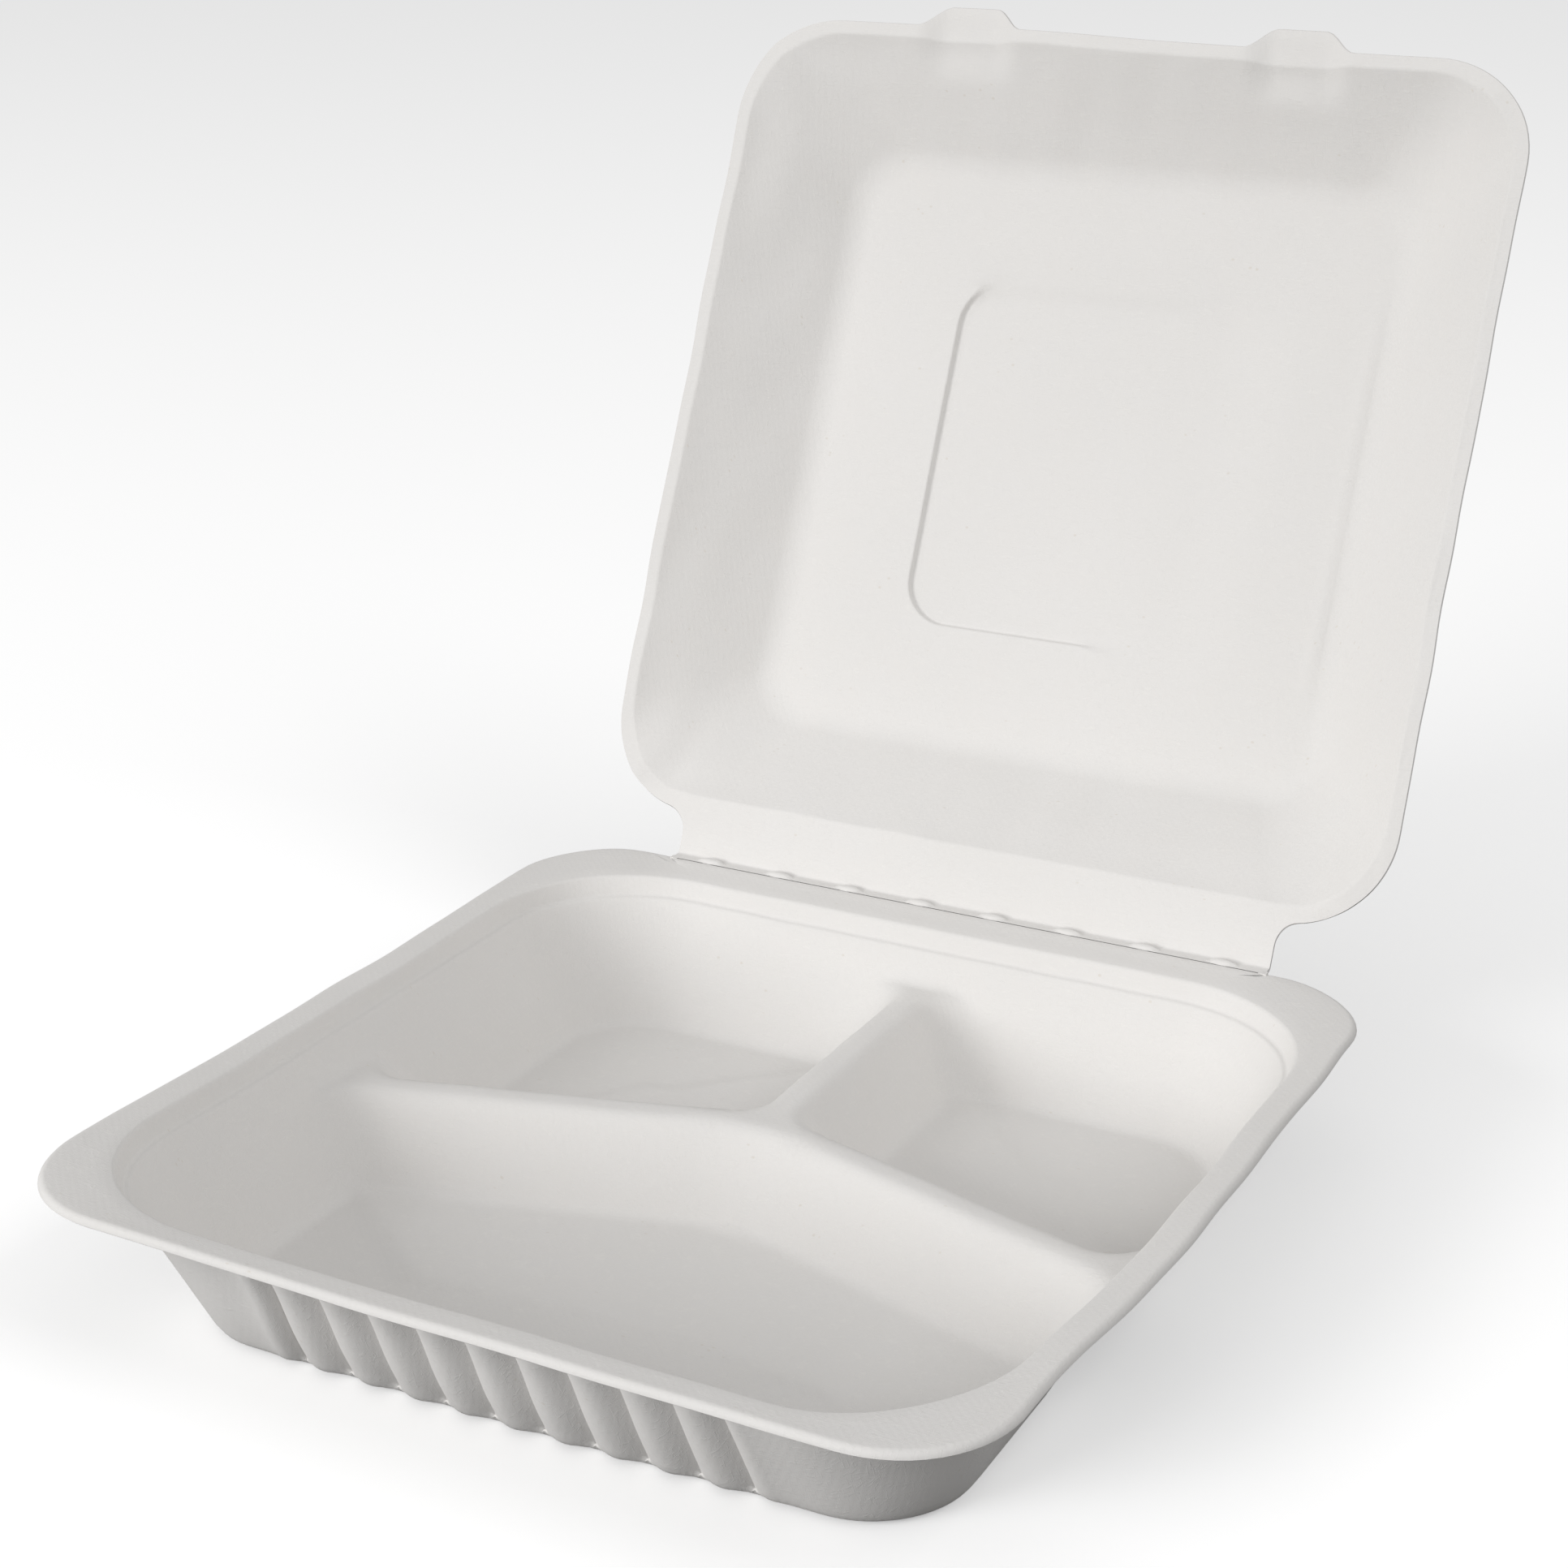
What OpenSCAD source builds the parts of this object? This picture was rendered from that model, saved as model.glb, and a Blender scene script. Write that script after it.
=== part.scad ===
// Hinged meal box moulded from bagasse pulp, three bays, lid standing open.
// Millimetres, +Z up, +Y towards the hinge. The origin is on the underside of the large front bay.

/* [Tray] */
// Width of the tray over its rim
tray_w = 229; // [200:1:260]
// Depth of the tray over its rim, without the hinge flange
tray_d = 229; // [200:1:260]
// Height of the tray from the table to the top of its rim
tray_h = 36.3; // [30:0.1:48]
// Thickness of the pressed sheet
sheet = 0.9; // [0.6:0.1:1.4]
// Lean of every tray wall from the vertical, in degrees
draft = 28; // [20:1:32]
// Radius between floor and walls, inside
floor_fillet = 4; // [2.5:0.5:10]
// Radius of the tray's outer corners at floor level, inside
floor_corner = 21; // [16:1:28]

/* [Tray rim] */
// Width of the rim flange at the sides and front
flange_w = 8; // [6:0.5:12]
// Extra width of the flange on the hinge side
hinge_flange = 5; // [3:0.5:9]
// Radius of the rim's outer corners
rim_corner = 28; // [22:1:36]
// Height of the stiffening step below the rim
step_h = 6; // [4:0.5:8]
// Sideways run of the stiffening step
step_run = 1.3; // [0.8:0.1:2.5]
// Width of the small ledge at the foot of the step
ledge_w = 1.2; // [0.6:0.1:2.5]
// How far the rolled lip turns down
lip_drop = 1.6; // [1:0.1:2.4]

/* [Dividers] */
// How far the tops of the dividers lie below the ledge of the rim
divider_drop = 7.8; // [6:0.1:12]
// Radius along the top of a divider
ridge_r = 4; // [3:0.5:5]
// Flat width on top of a divider
ridge_flat = 3; // [2:0.5:6]
// Angle at which each arm of the main divider runs towards the front, in degrees
arm_angle = 16; // [8:1:20]
// Distance of the main divider's bend behind the middle of the tray
bend_y = 16; // [8:1:24]
// Radius of the bend, on the side of the large bay
bend_r = 50; // [30:1:70]
// Radius where a divider runs into a wall
joint_r = 11; // [8:0.5:14]

/* [Flutes] */
// Number of grooves in the front wall
flutes = 10; // [6:1:12]
// Distance from the last groove on each side to the start of the corner
flute_end = 14.5; // [9:0.1:24]
// Depth of a groove
flute_depth = 1.6; // [0.8:0.1:2.2]

/* [Lid] */
// How far the closed lid's edge lies inside the rim at the sides
lid_inset = 6.5; // [4.5:0.1:9]
// How far the closed lid's edge lies inside the rim at the front
lid_front = 4.5; // [4:0.1:8]
// Radius of the lid's outer corners
lid_corner = 26; // [20:1:34]
// Width of the lid's flange
lid_flange = 3.4; // [2.6:0.1:5]
// Depth of the lid down to its panel
lid_depth = 25; // [18:1:34]
// Lean of the lid walls from the vertical, in degrees
lid_draft = 40; // [30:1:45]
// Radius between lid walls and panel
panel_fillet = 22; // [10:1:24]
// Radius of the panel's corners
panel_corner = 12; // [6:1:18]
// Width of the raised field on the lid
field_w = 86; // [60:1:100]
// Depth of the raised field on the lid, front to back
field_d = 95; // [60:1:110]
// How far the field stands out from the panel
field_h = 1.8; // [1:0.1:4]
// Corner radius of the raised field
field_corner = 12; // [8:1:18]

/* [Hinge and tabs] */
// Distance from each end of the hinge strip to the start of the rim's corner
hinge_end = 2.8; // [2:0.1:16]
// Radius of the notch on each side of the hinge strip
notch_r = 8; // [4:0.5:10]
// Distance from the lid's back edge to the fold
strip_d = 12.3; // [10.5:0.1:16]
// Distance from the tray's flange to the fold
fold_reach = 1.8; // [1.5:0.1:3]
// Angle of the open lid, from closed, in degrees
lid_open = 114.3; // [95:0.1:180]
// Gap left between the two halves at the fold, on each side
fold_gap = 0.2; // [0.15:0.05:0.4]
// Height of the fold above the rim, which also spaces the closed lid
fold_lift = 0.3; // [0.2:0.05:0.6]
// Number of pressed dimples along the fold
dimples = 8; // [4:1:8]
// Distance from the last dimple on each side to the end of the strip
dimple_end = 11.6; // [6:0.1:20]
// Width of a dimple along the fold
dimple_w = 7; // [4:0.5:10]
// How far a dimple stands up from the strip
dimple_rise = 0.3; // [0.1:0.05:0.5]
// Distance of each closing tab from the middle of the lid
tab_x = 46; // [30:1:60]
// Width of a tab at its root
tab_w = 31; // [24:1:36]
// Reach of a tab beyond the lid's edge
tab_reach = 5.7; // [3:0.1:7]
// Depth of the spout pressed into the lid below each tab
spout_depth = 3; // [1:0.1:4]

/* [Hidden] */

// Steps in a fillet, a corner and a notch beside the hinge
fillet_steps = 4;
corner_steps = 6;
notch_steps = 4;

// Width of the roll at the outer edge of the rim
lip_run = 2;
// Rounding of the crease where the step meets the flange
crease_r = 0.8;
// Radius of a dimple's rounded ends, and its distance from the fold
dimple_r = 0.9;
dimple_back = 1.6;
// Steps across one rib between two grooves, and the share of a pitch in which the first groove starts
rib_steps = 4;
groove_lead = 0.3;
// Depth by which the rim's wall reaches down into the walls of the bays
rim_root = 2.7;
// How deep the upper end of the groove fades out below the ledge, and where it stops
groove_fade = 5;
groove_stop = 1;

// Half sizes of the tray where its sloping walls meet the floor, inside
wall_run = (tray_h - step_h - sheet) * tan(draft);
neck = flange_w + step_run + ledge_w;
foot_x = tray_w / 2 - neck - wall_run;
foot_y = tray_d / 2 - neck - wall_run;

// The fold of the hinge, measured from the middle of the tray
fold_y = tray_d / 2 + hinge_flange + fold_reach;
fold_z = tray_h + fold_lift;

// The origin lies on the underside halfway between the tray's middle and the front of its floor
rest_y = foot_y / 2;

// The tops of the dividers above the table
divider_h = tray_h - step_h - divider_drop;

// Distance from a divider's middle line to its foot
ridge_run = ridge_r * cos(draft) + (divider_h - ridge_r + ridge_r * sin(draft) - sheet) * tan(draft);
ridge_foot = ridge_flat / 2 + ridge_run;

// Spacing of the grooves
flute_pitch = 2 * (foot_x - floor_corner - flute_end) / (flutes - 1);

// Width of the hinge strip, and spacing of its dimples
hinge_w = tray_w - 2 * (rim_corner + hinge_end);
dimple_pitch = (hinge_w - 2 * dimple_end) / (dimples - 1);

// Width of the lid over its flange, and its depth without hinge strip and tabs
lid_w = tray_w - 2 * lid_inset;
lid_d = fold_y - strip_d + tray_d / 2 - lid_front;

// Levels between which the grooves in the front wall have their full depth, and where they end
flute_full_z = tray_h - step_h - groove_fade;
flute_end_z = tray_h - step_h - groove_stop;

function mix(a, b, t) = a + (b - a) * t;
function back_to_front(list) = [for (i = [len(list) - 1:-1:0]) list[i]];

// Arc that rounds the corner between two lines, each given as [angle of its outward normal, distance]
function corner_arc(line_1, line_2, r) =
    let (d1 = line_1[1] - r, d2 = line_2[1] - r, turn = sin(line_2[0] - line_1[0]),
         x = (d1 * sin(line_2[0]) - d2 * sin(line_1[0])) / turn,
         y = (d2 * cos(line_1[0]) - d1 * cos(line_2[0])) / turn)
    [for (i = [0:corner_steps])
        let (a = mix(line_1[0], line_2[0], i / corner_steps))
        [x + r * cos(a), y + r * sin(a)]];

// Closed skin over rings of equal length, capped at both ends
module loft(rings) {
    n = len(rings[0]);
    polyhedron(
        points = [for (ring = rings) each ring],
        faces = concat(
            [[for (i = [0:n - 1]) i]],
            [for (k = [0:len(rings) - 2], i = [0:n - 1])
                each let (a = k * n + i, b = k * n + (i + 1) % n) [[a, b + n, b], [a, a + n, b + n]]],
            [[for (i = [n - 1:-1:0]) (len(rings) - 1) * n + i]]));
}

// Closed skin over rings that come round to the first one again
module loop_loft(rings) {
    n = len(rings[0]);
    m = len(rings);
    polyhedron(
        points = [for (ring = rings) each ring],
        faces = [for (k = [0:m - 1], i = [0:n - 1])
            each let (a = k * n + i, b = k * n + (i + 1) % n, c = ((k + 1) % m) * n + (i + 1) % n,
                      d = ((k + 1) % m) * n + i)
            [[a, c, b], [a, d, c]]]);
}

// How far a wall has moved out from its foot at height z; skin is 0 inside and the sheet outside
function wall_out(z, skin) = (z - sheet) * tan(draft) + skin / cos(draft);

// Levels of a bay as [height, wall distance, divider distance, share of the groove depth]
function bay_levels(skin) = concat(
    [for (i = [0:fillet_steps])
        let (a = mix(-90, -draft, i / fillet_steps),
             out = (floor_fillet + skin) * cos(a) - floor_fillet * tan((90 - draft) / 2))
        [sheet + floor_fillet + (floor_fillet + skin) * sin(a), out, out, i / fillet_steps]],
    [for (i = [0:fillet_steps])
        let (a = mix(-draft, -90, i / fillet_steps), z = divider_h - ridge_r - (ridge_r - skin) * sin(a))
        [z, wall_out(z, skin), ridge_run - (ridge_r - skin) * cos(a), 1]]);

// Grooves across the front wall as [place across, depth], from the left plain wall to the right one
flute_points = let (first = -(flutes - 1) / 2 * flute_pitch, last = -first) concat(
    [[first - groove_lead * flute_pitch, 0]],
    [for (i = [0:flutes - 2], u = [0:1 / rib_steps:1 - 0.5 / rib_steps])
        [first + (i + u) * flute_pitch, flute_depth * pow(2 * u - 1, 2)]],
    [[last, flute_depth], [last + 0.25 * flute_pitch, flute_depth / 4], [last + 0.5 * flute_pitch, 0]]);

function front_edge(y, share) = [for (p = flute_points) [p[0], y + p[1] * share]];

function at_height(points, z) = [for (p = points) [p[0], p[1], z]];

// Large bay across the front, one ring for each level
module large_bay(skin) {
    loft([for (level = bay_levels(skin))
        let (wall = level[1], arm = bend_y * cos(arm_angle) - ridge_foot + level[2],
             front = [-90, foot_y + wall], right = [0, foot_x + wall], right_arm = [90 - arm_angle, arm],
             left_arm = [90 + arm_angle, arm], left = [180, foot_x + wall])
        at_height(concat(
            front_edge(-foot_y - wall, level[3]),
            corner_arc(front, right, floor_corner + wall),
            corner_arc(right, right_arm, joint_r),
            corner_arc(right_arm, left_arm, bend_r),
            corner_arc(left_arm, left, joint_r),
            corner_arc(left, [270, foot_y + wall], floor_corner + wall)), level[0])]);
}

// Small bay behind the right arm of the divider; the left one mirrors it
module small_bay(skin) {
    loft([for (level = bay_levels(skin))
        let (wall = level[1], cross = level[2] - ridge_foot,
             middle = [180, cross], arm = [270 - arm_angle, cross - bend_y * cos(arm_angle)],
             right = [360, foot_x + wall], back = [450, foot_y + wall])
        at_height(concat(
            corner_arc(middle, arm, joint_r),
            corner_arc(arm, right, joint_r),
            corner_arc(right, back, floor_corner + wall),
            corner_arc(back, [540, cross], joint_r)), level[0])]);
}

module bays(skin) {
    large_bay(skin);
    small_bay(skin);
    mirror([1, 0, 0]) small_bay(skin);
}

// Ring round the tray, out past the foot; flange 0 follows the walls and 1 the rim's own outline
function tray_ring(out, z, flange, share) =
    let (front = [-90, foot_y + out], right = [0, foot_x + out],
         back = [90, foot_y + out + flange * hinge_flange], left = [180, foot_x + out],
         r = mix(floor_corner + out, rim_corner + out - (tray_w / 2 - foot_x), flange))
    at_height(concat(
        front_edge(-foot_y - out, share),
        corner_arc(front, right, r), corner_arc(right, back, r),
        corner_arc(back, left, r), corner_arc(left, [270, foot_y + out], r)), z);

// Parallel to a path at a distance, on its right-hand side
function beside(path, distance) = [for (i = [0:len(path) - 1])
    let (p = path[i], q0 = path[max(i - 1, 0)], q1 = path[min(i + 1, len(path) - 1)],
         d0 = i == 0 ? [q1[0] - p[0], q1[1] - p[1]] : [p[0] - q0[0], p[1] - q0[1]],
         d1 = i == len(path) - 1 ? d0 : [q1[0] - p[0], q1[1] - p[1]],
         n0 = [d0[1], -d0[0]] / norm(d0), n1 = [d1[1], -d1[0]] / norm(d1),
         m = (n0 + n1) / (1 + n0 * n1))
    [p[0] + m[0] * distance, p[1] + m[1] * distance, p[2], p[3]]];

// Upper side of the tray's wall and rim as [distance out, height, flange share, groove share]
rim_path = let (ledge_z = tray_h - step_h, top = wall_out(ledge_z, 0),
                crease = top + ledge_w + step_run, edge = crease + flange_w) [
    [wall_out(divider_h, 0), divider_h, 0, 1],
    [wall_out(flute_full_z, 0), flute_full_z, 0, 1],
    [wall_out(flute_end_z, 0), flute_end_z, 0, 0],
    [top, ledge_z, 0, 0],
    [top + ledge_w, ledge_z + 0.2, 0, 0],
    [crease - crease_r * 0.3, tray_h - crease_r, 0.1, 0],
    [crease + crease_r * 0.7, tray_h, 0.15, 0],
    [edge - lip_run, tray_h, 0.9, 0],
    [edge - lip_run * 0.3, tray_h - lip_drop * 0.3, 1, 0],
    [edge, tray_h - lip_drop, 1, 0]];

// Wall above the dividers with its step, flange and rolled lip; its root is buried in the bays' walls
module rim() {
    root_z = divider_h - rim_root;
    root = [wall_out(root_z, sheet / 2), root_z, 0, 1];
    loop_loft([for (p = concat(back_to_front(rim_path), [root], beside(rim_path, sheet)))
        tray_ring(p[0], p[1], p[2], p[3])]);
}

// Flat top of the dividers, which ends inside the thickness of the walls
module divider_tops() {
    loft([for (z = [divider_h - sheet, divider_h])
        tray_ring(wall_out(z, sheet / 2), z, 0, 1)]);
}

// Pressed dimple that scores the fold
module dimple() {
    hull() for (side = [-1, 1])
        translate([side * (dimple_w / 2 - dimple_r), 0, 0]) sphere(r = dimple_r, $fn = 12);
}

// Half of the hinge strip that belongs to the tray
module tray_strip() {
    strip_front = tray_d / 2 + hinge_flange - lip_run - 1;
    translate([-hinge_w / 2, strip_front, tray_h - sheet])
        cube([hinge_w, fold_y - fold_gap - strip_front, sheet]);
    for (i = [0:dimples - 1])
        translate([(i - (dimples - 1) / 2) * dimple_pitch, fold_y - fold_gap - dimple_back,
                   tray_h + dimple_rise - dimple_r])
            dimple();
}

module base_tray() {
    color("ivory") translate([0, rest_y, 0]) {
        difference() {
            union() {
                bays(sheet);
                divider_tops();
            }
            bays(0);
        }
        rim();
        tray_strip();
    }
}

// Quarter of a lid ring from its side to the middle of its back edge, as [across, towards the fold]
function back_quarter(x, y, r, strip) =
    let (cx = x - r, cy = y - r, nx = hinge_w / 2 + notch_r, reach = r + notch_r,
         a = strip ? acos((nx - cx) / reach) : 90, ny = cy + reach * sin(a))
    concat(
        [for (i = [0:corner_steps]) let (p = a * i / corner_steps) [cx + r * cos(p), cy + r * sin(p)]],
        strip ? concat(
            [for (i = [1:notch_steps])
                let (p = 180 + a * (1 - i / notch_steps)) [nx + notch_r * cos(p), ny + notch_r * sin(p)]],
            [[hinge_w / 2, lid_d / 2 + strip_d - fold_gap]])
        : [for (i = [1:notch_steps + 1]) [cx * (1 - 0.04 * i), y]]);

// Outline of the two tabs on the lid's front edge as [place across, share of the reach]
tab_points = [for (side = [-1, 1], p = [[-0.5, 0], [-0.36, 0.22], [-0.23, 0.9], [-0.14, 1],
                                        [0.14, 1], [0.23, 0.9], [0.36, 0.22], [0.5, 0]])
    [side * tab_x + p[0] * tab_w, p[1]]];

// Ring round the lid as it lies flat open, with its hinge strip, tabs and spouts
function lid_ring(x, y, z, r, strip, reach, spout) =
    let (back = back_quarter(x, y, r, strip), tab_k = min(1, (x - r) / (tab_x + tab_w / 2)))
    concat(
        [for (q = back) [-q[0], -q[1], z]],
        [for (q = back_to_front(back)) [q[0], -q[1], z]],
        at_height(corner_arc([0, x], [90, y], r), z),
        [for (q = back_to_front(tab_points)) [q[0] * tab_k, y + q[1] * tab_reach * reach, z - q[1] * spout]],
        at_height(corner_arc([90, y], [180, x], r), z));

// Inner side of the lid as [distance out from the edge, height, [strip, reach, spout]]
lid_slope = tan(lid_draft);
panel_out = -lid_flange - lid_depth * lid_slope - panel_fillet * tan((90 - lid_draft) / 2);
lid_path = concat(
    [[0, 0, [true, 1, 0.55]],
     [-lid_flange, 0, [false, 0, 1]],
     [-lid_flange - spout_depth * 3 * lid_slope, -spout_depth * 3, [false, 0, 0.25]]],
    [for (i = [0:fillet_steps])
        let (a = mix(-lid_draft, -90, i / fillet_steps))
        [panel_out + panel_fillet * cos(a), panel_fillet - lid_depth + panel_fillet * sin(a),
         [false, 0, 0]]]);

// Rings of one side of the lid from its edge to the raised field; drop is 0 inside and the sheet outside
function lid_side(path, drop) = concat(
    [for (p = path)
        lid_ring(lid_w / 2 + p[0], lid_d / 2 + p[0], p[1], mix(lid_corner, panel_corner, p[0] / panel_out),
                 p[2][0], p[2][1], p[2][2] * spout_depth)],
    [for (p = [[field_h, 0], [0, -field_h]])
        lid_ring(field_w / 2 + p[0], field_d / 2 + p[0], p[1] - lid_depth - drop, field_corner + p[0],
                 false, 0, 0)]);

module lid() {
    color("ivory") translate([0, rest_y + fold_y, fold_z]) rotate([180 - lid_open, 0, 0])
        translate([0, lid_d / 2 + strip_d, 0])
            loft(concat(back_to_front(lid_side(beside(lid_path, -sheet), sheet)), lid_side(lid_path, 0)));
}

base_tray();
lid();
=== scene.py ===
import math

import bpy
import numpy as np
from mathutils import Matrix, Vector


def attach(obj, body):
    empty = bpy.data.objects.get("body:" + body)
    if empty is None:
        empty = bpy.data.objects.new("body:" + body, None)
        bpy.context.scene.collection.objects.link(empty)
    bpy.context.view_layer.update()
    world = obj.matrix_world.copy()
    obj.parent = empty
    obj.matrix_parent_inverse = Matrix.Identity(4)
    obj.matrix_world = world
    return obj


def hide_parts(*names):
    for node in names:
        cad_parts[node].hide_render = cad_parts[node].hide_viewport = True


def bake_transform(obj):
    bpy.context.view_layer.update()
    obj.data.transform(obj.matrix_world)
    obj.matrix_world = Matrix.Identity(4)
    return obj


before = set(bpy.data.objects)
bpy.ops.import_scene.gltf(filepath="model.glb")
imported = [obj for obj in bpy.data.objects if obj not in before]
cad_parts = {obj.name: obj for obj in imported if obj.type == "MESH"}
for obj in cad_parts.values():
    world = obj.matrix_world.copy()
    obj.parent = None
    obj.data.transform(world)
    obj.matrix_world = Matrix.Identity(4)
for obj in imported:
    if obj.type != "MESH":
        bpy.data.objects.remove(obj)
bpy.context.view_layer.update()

# Camera
# Stands to the front and right of the box and looks down into it, as the photograph does.
# It is aimed a little above the fold, where the middle of the open box is.
camera_place = Vector((0.2781, -0.4591, 0.3194))
camera_target = Vector((0.01785, 0.04418, 0.11309))
camera_roll = math.radians(0.18)

camera_lens = bpy.data.cameras.new("camera")
camera_lens.sensor_width = 36
camera_lens.lens = 65.49
camera_lens.shift_x = -0.0141
camera_lens.shift_y = -0.0015
camera_lens.clip_start = 0.01
camera = bpy.data.objects.new("camera", camera_lens)
camera.location = camera_place
camera.rotation_mode = "QUATERNION"
camera.rotation_quaternion = (
    (camera_target - camera_place).to_track_quat("-Z", "Y")
    @ Matrix.Rotation(camera_roll, 3, "Z").to_quaternion()
)
bpy.context.scene.collection.objects.link(camera)
bpy.context.scene.camera = camera

# Tray
# The lower half of a box pressed in one go from wet bagasse pulp over a heated mould. Its sheet is
# under a millimetre thick, and stands up by its sloping walls, the step under the rim and the lip.
# All sizes here are in millimetres from the middle of the tray, and are brought to metres at the end.
sheet = 0.9
lean = math.tan(math.radians(28))
tray_half = 114.5
tray_height = 36.3
step_height = 6.0
step_run = 1.3
ledge = 1.2
flange = 8.0
hinge_flange = 5.0
rim_corner = 28.0
foot = tray_half - flange - step_run - ledge - (tray_height - step_height - sheet) * lean
foot_corner = 21.0
floor_round = 4.0
divider_top = 22.5
ridge_round = 4.0
ridge_foot = 1.5 + 3.532 + (divider_top - ridge_round + ridge_round * 0.46947 - sheet) * lean
arm = math.radians(16)
bend = 16.0
fold_y = tray_half + hinge_flange + 1.8
fold_z = tray_height + 0.3
hinge_half = 83.7
to_part = np.array([0.0, foot / 2, 0.0])


def rounded_corner(d1, d2, between, radius):
    """Distance past two walls that meet in a corner whose radius stays the same at every height."""
    k = d1**2 + d2**2 - 2 * between * d1 * d2 - radius**2 * (1 - between**2)
    inside = np.maximum((d1 + d2) ** 2 - 2 * k / (1 - between), 0)
    e = (np.sqrt(inside) - d1 - d2) / 2
    a, b = d1 + e, d2 + e
    in_arc = (a > between * b) & (b > between * a)
    return np.where(in_arc, radius - e, np.maximum(d1, d2))


def past_foot(x, y):
    """Distance outside the line where the outer walls meet the floor."""
    qx = np.abs(x) - (foot - foot_corner)
    qy = np.abs(y) - (foot - foot_corner)
    return np.hypot(np.maximum(qx, 0), np.maximum(qy, 0)) + np.minimum(np.maximum(qx, qy), 0) - foot_corner


def wall_height(d):
    """Height of a wall at distance d past its foot, with the fillet to the floor."""
    reach = floor_round * math.tan(math.radians(31))
    in_round = np.clip(d + reach, 0, floor_round * math.sin(math.radians(62)))
    rounded = sheet + floor_round - np.sqrt(floor_round**2 - in_round**2)
    return np.where(d + reach < in_round + 1e-9, rounded, np.maximum(rounded, sheet + d / lean))


def past_bays(x, y):
    """Distance past the foot of the nearest of the three bays."""
    outer = past_foot(x, y)
    to_arm = math.sin(arm) * np.abs(x) + math.cos(arm) * y
    right = math.sin(arm) * x + math.cos(arm) * y + ridge_foot - bend * math.cos(arm)
    left = -math.sin(arm) * x + math.cos(arm) * y + ridge_foot - bend * math.cos(arm)
    arms = rounded_corner(right, left, math.cos(2 * arm), 50)
    large = rounded_corner(outer, arms, math.sin(arm), 11)
    arm_side = -to_arm + ridge_foot + bend * math.cos(arm)
    middle = ridge_foot - np.abs(x)
    small = np.maximum(
        rounded_corner(middle, arm_side, math.sin(arm), 11),
        np.maximum(
            rounded_corner(outer, arm_side, -math.sin(arm), 11), rounded_corner(outer, middle, 0, 11)
        ),
    )
    return np.minimum(large, small)


def tray_surface(x, y):
    """Height of the upper side of the tray between its walls."""
    outer = past_foot(x, y)
    bay = past_bays(x, y)
    ridge_run = ridge_foot - 1.5
    to_ridge = np.clip(ridge_run - bay, 0, ridge_round)
    crown = divider_top - ridge_round + np.sqrt(ridge_round**2 - to_ridge**2)
    divider = np.where(bay < ridge_run - ridge_round * math.cos(math.radians(28)), wall_height(bay), crown)
    wall = wall_height(outer)
    blend = 4.0 * np.clip((bay - outer) / 3, 0, 1) ** 2 + 1e-6
    near = np.maximum(blend - np.abs(wall - divider), 0) / blend
    return np.maximum(wall, divider) + near**2 * blend / 4


def arcs_in(corners, turn_steps=4):
    """Points of a line through corners given as (out, up, radius, flange share), each corner rounded."""
    line = []
    for i, (out, up, radius, share) in enumerate(corners):
        if radius == 0:
            line.append((out, up, share))
            continue
        here = np.array([out, up])
        before = np.array(corners[i - 1][:2]) - here
        after = np.array(corners[i + 1][:2]) - here
        before, after = before / np.hypot(*before), after / np.hypot(*after)
        half = math.acos(np.clip(before @ after, -1, 1)) / 2
        reach = radius / math.tan(half)
        centre = here + (before + after) / np.hypot(*(before + after)) * radius / math.sin(half)
        start, end = here + before * reach - centre, here + after * reach - centre
        for t in np.linspace(0, 1, turn_steps + 1):
            p = start * (1 - t) + end * t
            p = centre + p / np.hypot(*p) * radius
            line.append((p[0], p[1], share))
    return line


def waves(place, seed, shortest, longest, count=9):
    """Smooth seeded unevenness along a line or over a surface, about -1 to 1."""
    rng = np.random.default_rng(seed)
    total = 0
    for _ in range(count):
        length = math.exp(rng.uniform(math.log(shortest), math.log(longest)))
        heading = rng.normal(size=place.shape[-1])
        heading /= np.linalg.norm(heading)
        total = total + np.sin(place @ heading * 2 * math.pi / length + rng.uniform(0, 6.28)) * (
            length / longest
        ) ** 0.4
    return total / math.sqrt(count)


def ramp(value, low, high):
    t = np.clip((value - low) / (high - low), 0, 1)
    return t * t * (3 - 2 * t)


# The front wall has ten grooves, pressed inwards with rounded ribs between them
groove_pitch = 11.75
groove_depth = 3.4
rib_height = 0.9
groove_lines = (np.arange(10) - 4.5) * groove_pitch
near_groove = [-4.9, -3.7, -2.6, -1.6, -0.9, -0.4, 0, 0.4, 0.9, 1.6, 2.6, 3.7, 4.9, 5.875]
front_columns = np.array(
    [-groove_lines[9] - 9, -groove_lines[9] - 6.5]
    + [g + step for g in groove_lines for step in near_groove]
    + [groove_lines[9] + 8]
)


def groove_at(x):
    """How far the front wall is pressed in at x, less the height of the ribs on both sides."""
    away = x[..., None] - groove_lines
    nearest = np.take_along_axis(away, np.abs(away).argmin(-1)[..., None], -1)[..., 0]
    half = np.where((x < groove_lines[0]) & (nearest < 0), 0.34, 0.5) * groove_pitch
    lobe = np.sin(np.clip(np.sqrt(nearest**2 + 0.35**2) / half, 0, 1) * math.pi / 2)
    groove = groove_depth * (1 - lobe)
    beside = ramp(np.abs(x), groove_lines[9] + 2.5, groove_lines[9] + 7.5)
    return groove - rib_height * (1 - beside)


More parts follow.
